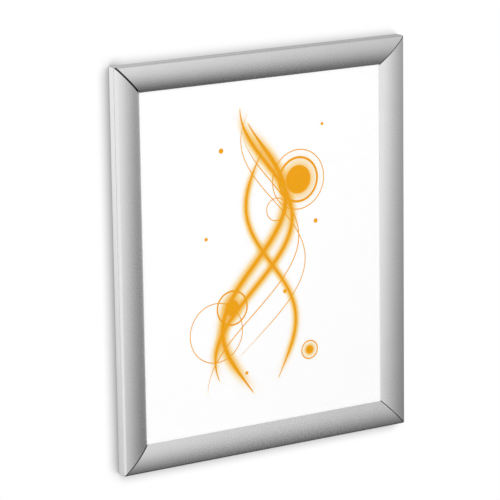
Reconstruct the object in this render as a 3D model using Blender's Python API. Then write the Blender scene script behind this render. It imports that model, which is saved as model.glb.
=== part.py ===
"""Edge-lit snap-frame light box, a portrait wall display, in metres with +Z up.

The wall is the plane y = 0 and the lit front faces -Y. The origin is the middle
of the back. Four mitred base rails hold the light stack, and a snap rail hinged on
the outer bead of each one closes over the print.

Every rail is drawn in its side's own frame: s runs along the rail, u runs inward
from the outer face, and d runs out from the wall. The four frames are the bottom
one turned by quarter turns about Y.
"""

import math

import bmesh
import bpy
from mathutils import Matrix, Vector

# Print and frame
PRINT_WIDTH = 0.4064
PRINT_HEIGHT = 0.508
PRINT_THICK = 0.0003
PRINT_COVERED = 0.0102
COVER_THICK = 0.0008
RAIL_WIDTH = 0.038
GAP = 0.0003
BASE_MITRE_GAP = 0.00015
SNAP_MITRE_GAP = 0.00065

# Base rail
RAIL_WALL = 0.0014
REAR_FLANGE = 0.026
LIP_THICK = 0.0012
LIP_SHORT_OF_EDGE = 0.001
KEY_CHANNEL = 0.0096
WEB_THICK = 0.0012
RIB_HEIGHT = 0.0013
RIB_WIDTH = 0.0009

# Hinge bead and snap rail
HINGE_INSET = 0.0015
HINGE_RISE = 0.0034
BEAD_RADIUS = 0.0014
NECK_THICK = 0.0011
CLAW_THICK = 0.001
CLAW_START = -50.0
CLAW_GUSSET = 20.0
GUSSET_REACH = 0.0035
OPEN_LIMIT = 90.0
CORNER_RISE = 0.0043
CORNER_FILLET = 0.0036
FACE_SAGITTA = 0.0041
SNAP_SKIN = 0.0013
EDGE_THICK = 0.0011
EDGE_RIB = 0.0016
CLAW_END_CLEAR = 0.006

# Light stack
BACK_PANEL_THICK = 0.0012
REFLECTOR_THICK = 0.0003
GUIDE_THICK = 0.003
DIFFUSER_THICK = 0.0012
SHEET_INSET = 0.015

# Light bars
BAR_THICK = 0.001
BAR_END_INSET = 0.0175
LED_LENGTH = 0.0035
LED_HEIGHT = 0.0024
LED_THICK = 0.0008
LED_PITCH = 0.0165

# Corner keys and their grub screws
KEY_ARM = 0.038
KEY_CHAMFER = 0.0012
GRUB_RADIUS = 0.002
GRUB_INSET = 0.026
GRUB_SHORT = 0.0008
GRUB_SOCKET_RADIUS = 0.00115
GRUB_SOCKET_DEPTH = 0.0018

# Leaf springs
SPRING_THICK = 0.0005
SPRING_WIDTH = 0.022
SPRING_BEND = 0.0022
SPRING_FOOT_RISE = 0.0022
SPRING_INSET = 0.125
SPRING_GROOVE = 0.0109

# Wall screw holes
WALL_HOLE_RADIUS = 0.00225
WALL_HOLE_INSET = 0.085

# Power inlet and its leads
INLET_INSET = 0.058
INLET_WIDTH = 0.009
INLET_NOSE_RADIUS = 0.0032
INLET_BORE_RADIUS = 0.00275
INLET_BORE_DEPTH = 0.009
INLET_PIN_RADIUS = 0.001
INLET_FACE_INSET = 0.0001
INLET_PIN_INSET = 0.0016
LEAD_RADIUS = 0.0008
LEAD_SPACING = 0.0024
LEAD_BEND = 0.0021

# Facets
ARC_STEP = 15.0
FACE_STEPS = 18
ROUND_SIDES = 20

# Places worked out from the sizes above
FRAME_WIDTH = PRINT_WIDTH + 2.0 * (RAIL_WIDTH - PRINT_COVERED)
FRAME_HEIGHT = PRINT_HEIGHT + 2.0 * (RAIL_WIDTH - PRINT_COVERED)
BACK_PANEL_AT = RAIL_WALL + GAP
REFLECTOR_AT = BACK_PANEL_AT + BACK_PANEL_THICK + GAP
GUIDE_AT = REFLECTOR_AT + REFLECTOR_THICK + GAP
DIFFUSER_AT = GUIDE_AT + GUIDE_THICK + GAP
LIP_AT = DIFFUSER_AT + DIFFUSER_THICK + GAP
LIP_TOP = LIP_AT + LIP_THICK
PRINT_AT = LIP_TOP + GAP
COVER_AT = PRINT_AT + PRINT_THICK + GAP
EDGE_AT = COVER_AT + COVER_THICK + GAP
CHANNEL_END = RAIL_WALL + KEY_CHANNEL
WEB_END = CHANNEL_END + WEB_THICK
CHANNEL_MIDDLE_U = RAIL_WALL + 0.5 * KEY_CHANNEL
CHANNEL_MIDDLE_D = 0.5 * (RAIL_WALL + LIP_AT)
PRINT_EDGE = RAIL_WIDTH - PRINT_COVERED
HINGE = (HINGE_INSET, LIP_TOP + HINGE_RISE)
SHOULDER = HINGE[1] - HINGE_INSET - GAP
CLAW_INNER = BEAD_RADIUS + GAP
CLAW_OUTER = CLAW_INNER + CLAW_THICK
SKIN_END_ANGLE = 180.0 - 0.5 * OPEN_LIMIT
GUIDE_MIDDLE = GUIDE_AT + 0.5 * GUIDE_THICK

# The sides in turn, seen from the front, and the corner at the far end of each
SIDES = ("bottom", "right", "top", "left")
CORNERS = ("bottom_right", "top_right", "top_left", "bottom_left")


def clear_scene():
    """Remove every object that the file opened with."""
    for thing in list(bpy.data.objects):
        bpy.data.objects.remove(thing, do_unlink=True)


def make_material(name, colour, roughness, metallic, glow=0.0):
    """A Principled material, with a glow for the lit sheets."""
    material = bpy.data.materials.new(name)
    material.use_nodes = True
    shader = material.node_tree.nodes["Principled BSDF"]
    shader.inputs["Base Color"].default_value = (*colour, 1.0)
    shader.inputs["Roughness"].default_value = roughness
    shader.inputs["Metallic"].default_value = metallic
    shader.inputs["Emission Color"].default_value = (*colour, 1.0)
    shader.inputs["Emission Strength"].default_value = glow
    return material


def half_along(side):
    """Half the outer length of a side's rail."""
    if side in ("bottom", "top"):
        return 0.5 * FRAME_WIDTH
    return 0.5 * FRAME_HEIGHT


def side_frame(side):
    """The matrix that places (s, u, d) of a side, from the middle of its outer face."""
    quarter = SIDES.index(side)
    half_across = 0.5 * FRAME_HEIGHT if side in ("bottom", "top") else 0.5 * FRAME_WIDTH
    turn = Matrix.Rotation(-0.5 * math.pi * quarter, 4, "Y")
    return turn @ Matrix.Translation((0.0, 0.0, -half_across)) @ Matrix.Rotation(0.5 * math.pi, 4, "X")


def arc(centre, radius, start, end, steps=None):
    """Points on an arc from start to end, in degrees, both included."""
    if steps is None:
        steps = max(1, round(abs(end - start) / ARC_STEP))
    points = []
    for index in range(steps + 1):
        angle = math.radians(start + (end - start) * index / steps)
        points.append((centre[0] + radius * math.cos(angle), centre[1] + radius * math.sin(angle)))
    return points


def link_mesh(name, bm, matrix, material, smooth_angle=None):
    """Turn a bmesh into a placed object, shaded smooth up to an angle."""
    bmesh.ops.recalc_face_normals(bm, faces=bm.faces[:])
    mesh = bpy.data.meshes.new(name)
    bm.to_mesh(mesh)
    bm.free()
    if smooth_angle:
        mesh.shade_smooth()
        mesh.set_sharp_from_angle(angle=math.radians(smooth_angle))
    thing = bpy.data.objects.new(name, mesh)
    if material:
        mesh.materials.append(material)
    thing.matrix_world = matrix
    bpy.context.collection.objects.link(thing)
    return thing


def extrude_loops(loops, low, high, place):
    """A bmesh of a flat outline with holes, extruded between two heights.

    place turns (a, b, height) into a position, so that one routine serves plates,
    straight bars and mitred rails.
    """
    bm = bmesh.new()
    edges = []
    for loop in loops:
        verts = [bm.verts.new((a, b, 0.0)) for a, b in loop]
        edges += [bm.edges.new(pair) for pair in zip(verts, verts[1:] + verts[:1])]
    bmesh.ops.triangle_fill(bm, use_beauty=True, use_dissolve=False, edges=edges, normal=(0.0, 0.0, 1.0))
    near = set(bm.verts)
    bmesh.ops.extrude_face_region(bm, geom=bm.faces[:])
    for vert in bm.verts:
        height = low if vert in near else high
        vert.co = place(vert.co.x, vert.co.y, height)
    return bm


def mitred_rail(name, loops, side, mitre_gap, origin, material):
    """A rail of constant section whose ends are cut at 45 degrees.

    A point at u ends that much nearer the middle than the outer face does. The
    object's origin is at the given (u, d), which is the hinge axis on a snap rail.
    """
    half = half_along(side) - mitre_gap

    def place(u, d, end):
        return Vector((end * (half - u), u - origin[0], d - origin[1]))

    bm = extrude_loops(loops, -1.0, 1.0, place)
    frame = side_frame(side) @ Matrix.Translation((0.0, origin[0], origin[1]))
    return link_mesh(name, bm, frame, material, smooth_angle=30.0)


def block(name, low, high, matrix, material):
    """A box between two corners of its own frame."""
    bm = bmesh.new()
    bmesh.ops.create_cube(bm, size=1.0)
    size = Vector(high) - Vector(low)
    middle = 0.5 * (Vector(high) + Vector(low))
    bmesh.ops.scale(bm, vec=size, verts=bm.verts)
    bmesh.ops.translate(bm, vec=middle, verts=bm.verts)
    return link_mesh(name, bm, matrix, material)


def add_rod(bm, start, end, radius, sides):
    """Add a round bar between two points to a bmesh."""
    run = Vector(end) - Vector(start)
    turn = Vector((0.0, 0.0, 1.0)).rotation_difference(run).to_matrix().to_4x4()
    middle = Matrix.Translation(0.5 * (Vector(start) + Vector(end)))
    bmesh.ops.create_cone(
        bm, cap_ends=True, cap_tris=False, segments=sides, radius1=radius, radius2=radius,
        depth=run.length, matrix=middle @ turn)


def rods(name, bars, matrix, material, sides=ROUND_SIDES):
    """One object of round bars, each given as (start, end, radius)."""
    bm = bmesh.new()
    for start, end, radius in bars:
        add_rod(bm, start, end, radius, sides)
    return link_mesh(name, bm, matrix, material, smooth_angle=40.0)


def combine(target, tool, operation):
    """Cut a hidden tool from an object, or join it on."""
    tool.hide_render = True
    tool.display_type = "WIRE"
    modifier = target.modifiers.new(tool.name, "BOOLEAN")
    modifier.operation = operation
    modifier.solver = "EXACT"
    modifier.object = tool


def base_section():
    """Outline and key channel of a base rail, as (u, d) points.

    From the wall: rear flange, outer wall and closed key channel, then the web that
    carries the light bar, and the lip over the light stack. The lip's face has the
    spring groove and the print stop, and the bead stands on the outer wall.
    """
    groove_half = 0.5 * SPRING_THICK + GAP
    rib_top = LIP_TOP + RIB_HEIGHT
    stop = PRINT_EDGE - GAP
    neck_left = HINGE[0] - 0.5 * NECK_THICK
    neck_right = HINGE[0] + 0.5 * NECK_THICK
    neck_angle = math.degrees(math.asin(0.5 * NECK_THICK / BEAD_RADIUS))
    outline = [(0.0, 0.0), (REAR_FLANGE, 0.0), (REAR_FLANGE, RAIL_WALL), (WEB_END, RAIL_WALL)]
    outline += [(WEB_END, LIP_AT), (RAIL_WIDTH - LIP_SHORT_OF_EDGE, LIP_AT)]
    outline.append((RAIL_WIDTH - LIP_SHORT_OF_EDGE, LIP_TOP))
    for inner in (stop, SPRING_GROOVE + groove_half + RIB_WIDTH, SPRING_GROOVE - groove_half):
        outer = inner - RIB_WIDTH
        outline += [(inner, LIP_TOP), (inner, rib_top), (outer, rib_top), (outer, LIP_TOP)]
    outline.append((neck_right, LIP_TOP))
    outline += arc(HINGE, BEAD_RADIUS, -90.0 + neck_angle, 270.0 - neck_angle)
    outline += [(neck_left, SHOULDER), (0.0, SHOULDER)]
    channel = [(RAIL_WALL, RAIL_WALL), (CHANNEL_END, RAIL_WALL)]
    channel += [(CHANNEL_END, LIP_AT), (RAIL_WALL, LIP_AT)]
    return [outline, channel]


def face_circle():
    """Centre and radius of the snap rail's convex face.

    The arc runs from the unrounded outer corner to the inner edge and rises above
    their chord by the sagitta.
    """
    corner = Vector((0.0, HINGE[1] + CORNER_RISE))
    edge = Vector((RAIL_WIDTH, EDGE_AT + EDGE_THICK))
    chord = edge - corner
    radius = (0.25 * chord.length_squared + FACE_SAGITTA ** 2) / (2.0 * FACE_SAGITTA)
    rise = Vector((-chord.y, chord.x)).normalized()
    return 0.5 * (corner + edge) + rise * (FACE_SAGITTA - radius), radius


def height_on_circle(centre, radius, u):
    """The d of the upper side of a circle at u."""
    return centre[1] + math.sqrt(radius ** 2 - (u - centre[0]) ** 2)


def angle_on_circle(centre, point):
    """The direction of a point from a centre, in degrees."""
    return math.degrees(math.atan2(point[1] - centre[1], point[0] - centre[0]))


def snap_section():
    """Outline of a snap rail, as (u, d) points.

    The outer wall ends on the line that lets it swing through the open limit
    without crossing its own mitre. The face is one arc with a rounded outer corner,
    and the claw grips more than half of the bead.
    """
    centre, radius = face_circle()
    skin_radius = radius - SNAP_SKIN
    fillet_u = CORNER_FILLET
    fillet_d = centre.y + math.sqrt((radius - CORNER_FILLET) ** 2 - (fillet_u - centre.x) ** 2)
    fillet = (fillet_u, fillet_d)
    face_start = angle_on_circle(centre, fillet)
    edge_top = (RAIL_WIDTH, EDGE_AT + EDGE_THICK)
    face_end = angle_on_circle(centre, edge_top)
    rib_u = RAIL_WIDTH - EDGE_RIB
    rib_top = (rib_u, height_on_circle(centre, skin_radius, rib_u))
    gusset_u = HINGE[0] + GUSSET_REACH
    gusset_top = (gusset_u, height_on_circle(centre, skin_radius, gusset_u))
    skin_start = angle_on_circle(centre, rib_top)
    skin_end = angle_on_circle(centre, gusset_top)
    end_rise = HINGE_INSET * math.tan(math.radians(180.0 - SKIN_END_ANGLE))
    outline = [(0.0, HINGE[1] + end_rise)]
    outline += arc(fillet, CORNER_FILLET, 180.0, face_start)
    outline += arc(centre, radius, face_start, face_end, FACE_STEPS)[1:]
    outline += [(RAIL_WIDTH, EDGE_AT), (rib_u, EDGE_AT)]
    outline += arc(centre, skin_radius, skin_start, skin_end, FACE_STEPS)
    outline += arc(HINGE, CLAW_OUTER, CLAW_GUSSET, CLAW_START)
    outline += arc(HINGE, CLAW_INNER, CLAW_START, SKIN_END_ANGLE)
    return [outline]


def build_base_rail(side, material):
    """A base rail with its wall screw holes and grub screw holes.

    The bottom one also has the inlet's hole and the slot for its leads.
    """
    rail = mitred_rail("base_rail_" + side, base_section(), side, BASE_MITRE_GAP, (0.0, 0.0), material)
    half = half_along(side)
    bars = []
    for s in (-half + WALL_HOLE_INSET, half - WALL_HOLE_INSET):
        bars.append(((s, CHANNEL_MIDDLE_U, -RAIL_WALL), (s, CHANNEL_MIDDLE_U, HINGE[1]), WALL_HOLE_RADIUS))
    for s in (-half + GRUB_INSET, half - GRUB_INSET):
        start = (s, CHANNEL_MIDDLE_U, CHANNEL_MIDDLE_D)
        bars.append((start, (s, CHANNEL_MIDDLE_U, HINGE[1]), GRUB_RADIUS + GAP))
    if side == "bottom":
        s = half - INLET_INSET
        start = (s, -RAIL_WALL, CHANNEL_MIDDLE_D)
        bars.append((start, (s, CHANNEL_MIDDLE_U, CHANNEL_MIDDLE_D), INLET_NOSE_RADIUS + GAP))
        slot_half = 0.5 * LEAD_SPACING + LEAD_RADIUS + GAP
        slot_low = (s - slot_half, CHANNEL_MIDDLE_U, CHANNEL_MIDDLE_D - LEAD_RADIUS - GAP)
        slot_high = (s + slot_half, WEB_END + GAP, CHANNEL_MIDDLE_D + LEAD_RADIUS + GAP)
        combine(rail, block("lead_slot_tool", slot_low, slot_high, side_frame(side), None), "DIFFERENCE")
    combine(rail, rods("drill_" + side, bars, side_frame(side), None), "DIFFERENCE")
    return rail


def build_snap_rail(side, material):
    """A snap rail, with its claw cut back at both ends to pass the next rail's bead."""
    rail = mitred_rail("snap_rail_" + side, snap_section(), side, SNAP_MITRE_GAP, HINGE, material)
    half = half_along(side)
    frame = side_frame(side) @ Matrix.Translation((0.0, HINGE[0], HINGE[1]))
    reach = 2.0 * CLAW_OUTER
    for end in (-1.0, 1.0):
        ends = sorted((end * (half - CLAW_END_CLEAR), end * half))
        name = "claw_trim_%s_%s" % (side, "near" if end < 0.0 else "far")
        tool = block(name, (ends[0], -reach, -reach), (ends[1], reach, 0.0), frame, None)
        combine(rail, tool, "DIFFERENCE")
    return rail


def build_corner_key(side, corner, material):
    """The cast L of a corner, drawn at the far end of a side in (s, u)."""
    near = RAIL_WALL + GAP
    far = CHANNEL_END - GAP
    cut = KEY_CHAMFER
    outline = [(-near - cut, near), (-KEY_ARM + cut, near), (-KEY_ARM, near + cut)]
    outline += [(-KEY_ARM, far - cut), (-KEY_ARM + cut, far), (-far, far)]
    outline += [(-far, KEY_ARM - cut), (-far + cut, KEY_ARM), (-near - cut, KEY_ARM)]
    outline += [(-near, KEY_ARM - cut), (-near, near + cut)]

    def place(s, u, d):
        return Vector((s, u, d))

    bm = extrude_loops([outline], RAIL_WALL + GAP, LIP_AT - GAP, place)
    frame = side_frame(side) @ Matrix.Translation((half_along(side), 0.0, 0.0))
    key = link_mesh("corner_key_" + corner, bm, frame, material)
    bores = []
    for s, u in grub_places():
        bores.append(((s, u, 0.0), (s, u, LIP_TOP), GRUB_RADIUS + GAP))
    combine(key, rods("key_drill_" + corner, bores, frame, None), "DIFFERENCE")
    return key


def grub_places():
    """Where the two grub screws of a corner stand, from its outer corner."""
    return ((-GRUB_INSET, CHANNEL_MIDDLE_U), (-CHANNEL_MIDDLE_U, GRUB_INSET))


def build_grub_screws(side, corner, material):
    """Two socket grub screws that lock a key in its channels."""
    frame = side_frame(side) @ Matrix.Translation((half_along(side), 0.0, 0.0))
    foot = RAIL_WALL + GAP
    head = LIP_AT - GRUB_SHORT
    screws = []
    for number, (s, u) in enumerate(grub_places(), start=1):
        name = "grub_screw_%s_%d" % (corner, number)
        screw = rods(name, [((s, u, foot), (s, u, head), GRUB_RADIUS)], frame, material)
        socket = ((s, u, head - GRUB_SOCKET_DEPTH), (s, u, head + GRUB_SOCKET_DEPTH), GRUB_SOCKET_RADIUS)
        combine(screw, rods(name + "_socket", [socket], frame, None, sides=6), "DIFFERENCE")
        screws.append(screw)
    return screws


def spring_path():
    """Middle line of a leaf spring, as (u, d) points.

    The foot stands in the groove, the bend turns it outward, and the blade leaves
    the bend along the tangent that ends at the claw.
    """
    foot = (SPRING_GROOVE, LIP_TOP + GAP)
    bend = Vector((SPRING_GROOVE - SPRING_BEND, LIP_TOP + SPRING_FOOT_RISE))
    tip = Vector((HINGE[0] + CLAW_OUTER + GAP, HINGE[1]))
    reach = tip - bend
    towards = math.degrees(math.atan2(reach.y, reach.x))
    leave = towards - math.degrees(math.acos(SPRING_BEND / reach.length))
    return [foot] + arc(bend, SPRING_BEND, 0.0, leave) + [tuple(tip)]


def strip_outline(path, thickness):
    """Outline of a strip that follows a path, with square ends."""
    left = []
    right = []
    for index, point in enumerate(path):
        before = Vector(path[max(index - 1, 0)])
        after = Vector(path[min(index + 1, len(path) - 1)])
        run = (after - before).normalized()
        across = 0.5 * thickness * Vector((-run.y, run.x))
        left.append(tuple(Vector(point) + across))
        right.append(tuple(Vector(point) - across))
    return left + right[::-1]


def build_leaf_spring(side, number, s_middle, material):
    """A spring-steel leaf that stands in the groove and presses on the claw."""
    outline = strip_outline(spring_path(), SPRING_THICK)

    def place(u, d, end):
        return Vector((s_middle + 0.5 * end * SPRING_WIDTH, u, d))

    bm = extrude_loops([outline], -1.0, 1.0, place)
    name = "leaf_spring_%s_%d" % (side, number)
    return link_mesh(name, bm, side_frame(side), material, smooth_angle=35.0)


def build_sheet(name, width, height, back, thickness, material):
    """A flat sheet, centred on the frame, whose back is that far from the wall."""
    low = (-0.5 * width, -(back + thickness), -0.5 * height)
    high = (0.5 * width, -back, 0.5 * height)
    return block(name, low, high, Matrix.Identity(4), material)


def build_light_bar(side, material):
    """A circuit bar on the web with a row of emitters facing the light guide."""
    half = half_along(side) - BAR_END_INSET
    back = WEB_END + GAP
    front = back + BAR_THICK
    frame = side_frame(side)
    low = (-half, back, BACK_PANEL_AT + GAP)
    high = (half, front, LIP_AT - GAP)
    bar = block("led_bar_" + side, low, high, frame, material)
    count = int((2.0 * half - LED_LENGTH) / LED_PITCH)
    first = -0.5 * (count - 1) * LED_PITCH
    emitter_low = (first - 0.5 * LED_LENGTH, front - 0.5 * BAR_THICK, GUIDE_MIDDLE - 0.5 * LED_HEIGHT)
    emitter_high = (first + 0.5 * LED_LENGTH, front + LED_THICK, GUIDE_MIDDLE + 0.5 * LED_HEIGHT)
    emitters = block("emitters_" + side, emitter_low, emitter_high, frame, None)
    row = emitters.modifiers.new("row", "ARRAY")
    row.count = count
    row.use_relative_offset = False
    row.use_constant_offset = True
    row.constant_offset_displace = (LED_PITCH, 0.0, 0.0)
    combine(bar, emitters, "UNION")
    return bar


def build_inlet(material):
    """The low-voltage socket: a square body in the channel and a round nose in the wall."""
    s = half_along("bottom") - INLET_INSET
    d = CHANNEL_MIDDLE_D
    frame = side_frame("bottom")
    near = RAIL_WALL + GAP
    far = CHANNEL_END - GAP
    low = (s - 0.5 * INLET_WIDTH, near, RAIL_WALL + GAP)
    high = (s + 0.5 * INLET_WIDTH, far, LIP_AT - GAP)
    socket = block("dc_inlet_socket", low, high, frame, material)
    mouth = (s, INLET_FACE_INSET, d)
    nose = [(mouth, (s, near + GAP, d), INLET_NOSE_RADIUS)]
    combine(socket, rods("inlet_nose", nose, frame, None), "UNION")
    floor = INLET_FACE_INSET + INLET_BORE_DEPTH
    bore = [((s, -GAP, d), (s, floor, d), INLET_BORE_RADIUS)]
    combine(socket, rods("inlet_bore", bore, frame, None), "DIFFERENCE")
    pin = [((s, INLET_PIN_INSET, d), (s, floor + GAP, d), INLET_PIN_RADIUS)]
    combine(socket, rods("inlet_pin", pin, frame, None), "UNION")
    return socket


def build_lead(name, towards, material):
    """A power lead from the inlet, along the bottom bay and up to a light bar's end.

    towards is -1 for the left bar and 1 for the right one.
    """
    inlet_x = 0.5 * FRAME_WIDTH - INLET_INSET
    bay = 0.5 * (WEB_END + SHEET_INSET)
    low = -0.5 * FRAME_HEIGHT
    side_x = towards * (0.5 * FRAME_WIDTH - bay)
    start_x = inlet_x + 0.5 * towards * LEAD_SPACING
    turn = 180.0 if towards > 0.0 else 0.0
    rise = bay - CHANNEL_END
    route = [(start_x, low + CHANNEL_END)]
    route += arc((start_x + towards * rise, low + CHANNEL_END), rise, turn, 90.0)[1:]
    corner = (side_x - towards * LEAD_BEND, low + bay + LEAD_BEND)
    route += arc(corner, LEAD_BEND, -90.0, -90.0 + towards * 90.0)
    route.append((side_x, low + BAR_END_INSET - GAP))
    curve = bpy.data.curves.new(name, "CURVE")
    curve.dimensions = "3D"
    curve.bevel_depth = LEAD_RADIUS
    curve.bevel_resolution = 2
    curve.use_fill_caps = True
    spline = curve.splines.new("POLY")
    spline.points.add(len(route) - 1)
    for point, (x, z) in zip(spline.points, route):
        point.co = (x, -CHANNEL_MIDDLE_D, z, 1.0)
    curve.materials.append(material)
    lead = bpy.data.objects.new(name, curve)
    bpy.context.collection.objects.link(lead)
    return lead


def build_light_stack():
    """The sheets, from the back panel to the clear cover."""
    inner_width = FRAME_WIDTH - 2.0 * SHEET_INSET
    inner_height = FRAME_HEIGHT - 2.0 * SHEET_INSET
    white_panel = make_material("back_panel_white", (0.8, 0.8, 0.8), 0.55, 0.0)
    reflector_film = make_material("reflector_film", (0.93, 0.93, 0.93), 0.4, 0.0)
    acrylic = make_material("light_guide_acrylic", (0.9, 0.95, 0.95), 0.08, 0.0)
    opal = make_material("opal_diffuser", (0.95, 0.95, 0.94), 0.45, 0.0, glow=1.0)
    paper = make_material("backlit_print", (0.97, 0.96, 0.94), 0.6, 0.0, glow=1.0)
    clear = make_material("matt_clear_cover", (0.95, 0.95, 0.95), 0.3, 0.0)
    inner = (inner_width, inner_height)
    full = (PRINT_WIDTH, PRINT_HEIGHT)
    sheets = (
        ("rear_panel", inner, BACK_PANEL_AT, BACK_PANEL_THICK, white_panel),
        ("reflector_sheet", inner, REFLECTOR_AT, REFLECTOR_THICK, reflector_film),
        ("light_guide_plate", inner, GUIDE_AT, GUIDE_THICK, acrylic),
        ("diffuser_sheet", inner, DIFFUSER_AT, DIFFUSER_THICK, opal),
        ("poster_print", full, PRINT_AT, PRINT_THICK, paper),
        ("cover_sheet", full, COVER_AT, COVER_THICK, clear),
    )
    for name, size, back, thickness, material in sheets:
        build_sheet(name, size[0], size[1], back, thickness, material)


def build_frame():
    """The rails, keys, screws and springs, side by side."""
    base_metal = make_material("base_aluminium", (0.66, 0.66, 0.67), 0.38, 1.0)
    snap_metal = make_material("satin_silver_aluminium", (0.75, 0.75, 0.76), 0.32, 1.0)
    cast_metal = make_material("cast_aluminium", (0.45, 0.45, 0.46), 0.5, 1.0)
    screw_steel = make_material("black_steel", (0.05, 0.05, 0.05), 0.4, 1.0)
    spring_steel = make_material("spring_steel", (0.4, 0.4, 0.42), 0.3, 1.0)
    for side, corner in zip(SIDES, CORNERS):
        build_base_rail(side, base_metal)
        build_snap_rail(side, snap_metal)
        build_corner_key(side, corner, cast_metal)
        build_grub_screws(side, corner, screw_steel)
        spring_s = half_along(side) - SPRING_INSET
        for number, s_middle in enumerate((-spring_s, spring_s), start=1):
            build_leaf_spring(side, number, s_middle, spring_steel)


def build_electrics():
    """The light bars, the inlet and the leads between them."""
    board = make_material("white_circuit_board", (0.85, 0.85, 0.83), 0.45, 0.0)
    moulding = make_material("black_moulding", (0.02, 0.02, 0.02), 0.45, 0.0)
    insulation = make_material("lead_insulation", (0.75, 0.75, 0.72), 0.5, 0.0)
    for side in ("left", "right"):
        build_light_bar(side, board)
    build_inlet(moulding)
    build_lead("lead_left", -1.0, insulation)
    build_lead("lead_right", 1.0, insulation)


def main():
    clear_scene()
    build_frame()
    build_light_stack()
    build_electrics()


main()
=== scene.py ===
"""Looks of an edge-lit light box with hinged snap rails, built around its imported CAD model.

Everything is in metres in the frame of the CAD model: +X to the right seen from the front,
-Y out of the wall, +Z up, and the origin in the middle of the back. A rail is drawn in its
side's own coordinates: s runs along the rail, u inward from its outer face and d out from
the wall.
"""

import math
from functools import partialmethod

import bmesh
import bpy
import numpy as np
from bpy.props import FloatProperty, FloatVectorProperty, IntProperty, PointerProperty
from mathutils import Matrix, Vector


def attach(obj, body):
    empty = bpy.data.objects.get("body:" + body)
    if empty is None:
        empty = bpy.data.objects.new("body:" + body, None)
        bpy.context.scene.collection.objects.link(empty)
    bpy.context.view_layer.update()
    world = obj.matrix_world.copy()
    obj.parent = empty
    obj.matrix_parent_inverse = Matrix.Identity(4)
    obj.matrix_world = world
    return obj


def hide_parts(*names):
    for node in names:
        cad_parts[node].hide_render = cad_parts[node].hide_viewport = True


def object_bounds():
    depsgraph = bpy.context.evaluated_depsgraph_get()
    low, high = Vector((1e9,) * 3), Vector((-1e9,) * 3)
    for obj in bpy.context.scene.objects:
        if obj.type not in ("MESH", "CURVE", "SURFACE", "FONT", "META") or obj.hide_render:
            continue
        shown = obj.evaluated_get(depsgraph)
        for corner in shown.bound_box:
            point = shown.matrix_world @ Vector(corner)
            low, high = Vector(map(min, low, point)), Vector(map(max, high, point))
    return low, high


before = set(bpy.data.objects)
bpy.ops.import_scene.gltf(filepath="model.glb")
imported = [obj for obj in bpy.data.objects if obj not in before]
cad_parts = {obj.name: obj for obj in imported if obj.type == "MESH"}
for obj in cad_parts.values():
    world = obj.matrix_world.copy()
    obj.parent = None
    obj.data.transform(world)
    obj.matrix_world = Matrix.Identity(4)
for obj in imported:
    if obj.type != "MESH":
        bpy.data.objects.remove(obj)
CAD_BOX = [list(corner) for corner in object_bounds()]

bl_info = {
    "name": "Snap-frame light box",
    "version": (1, 0, 0),
    "blender": (4, 5, 0),
    "location": "View3D > Sidebar > Light Box",
    "description": "Detailed rails, springs, lit sheets and finishes of a wall light box",
    "category": "Object",
}

# Sizes that the CAD model fixes
MM = 0.001
SIDES = ("bottom", "right", "top", "left")
HALF_WIDTH = 0.5 * (CAD_BOX[1][0] - CAD_BOX[0][0])
HALF_HEIGHT = 0.5 * (CAD_BOX[1][2] - CAD_BOX[0][2])
RAIL_WIDTH = 38.0 * MM
LIP_TOP = 9.8 * MM
EDGE_AT = 11.8 * MM
EDGE_THICK = 1.1 * MM
EDGE_RIB = 1.6 * MM
HINGE = (1.5 * MM, 13.2 * MM)
CLAW_INNER = 1.7 * MM
CLAW_OUTER = 2.7 * MM
CLAW_TIP = -50.0
CLAW_ROOT = 20.0
CLAW_SWING = 135.0
CLAW_END_CLEAR = 6.0 * MM
GUSSET_REACH = 3.5 * MM
CORNER_RISE = 4.3 * MM
CORNER_FILLET = 3.6 * MM
FACE_SAGITTA = 4.1 * MM
SNAP_SKIN = 1.3 * MM
SNAP_MITRE_GAP = 0.65 * MM
BASE_MITRE_GAP = 0.15 * MM
RAIL_WALL = 1.4 * MM
REAR_FLANGE = 26.0 * MM
CHANNEL_END = 11.0 * MM
WEB_END = 12.2 * MM
LIP_AT = 8.6 * MM
LIP_END = 37.0 * MM
RIB_HEIGHT = 1.3 * MM
RIB_WIDTH = 0.9 * MM
RIB_ENDS = (27.5 * MM, 12.35 * MM, 10.35 * MM)
BEAD_RADIUS = 1.4 * MM
NECK_THICK = 1.1 * MM
SHOULDER = 11.4 * MM
CHANNEL_MIDDLE = (6.2 * MM, 5.0 * MM)
WALL_HOLE_RADIUS = 2.25 * MM
WALL_HOLE_INSET = 85.0 * MM
GRUB_HOLE_RADIUS = 2.3 * MM
GRUB_INSET = 26.0 * MM
GRUB_RADIUS = 2.0 * MM
GRUB_FOOT = 1.7 * MM
GRUB_LENGTH = 6.1 * MM
THREAD_PITCH = 0.7 * MM
THREAD_DEPTH = 0.38 * MM
INLET_INSET = 58.0 * MM
INLET_HOLE_RADIUS = 3.5 * MM
LEAD_SLOT = (2.3 * MM, 1.1 * MM)
SPRING_INSET = 125.0 * MM
SPRING_WIDTH = 22.0 * MM
SPRING_THICK = 0.5 * MM
SPRING_FOOT = (10.9 * MM, 10.1 * MM)
SPRING_BEND = (8.7 * MM, 12.0 * MM)
SPRING_BEND_RADIUS = 2.2 * MM
SPRING_TIP = (4.5 * MM, 13.2 * MM)
CORNERS = ("bottom_right", "top_right", "top_left", "bottom_left")

# Directions in a rail's (s, u, d)
INWARD = (0.0, 1.0, 0.0)
OUTWARD = (0.0, 0.0, 1.0)

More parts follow.
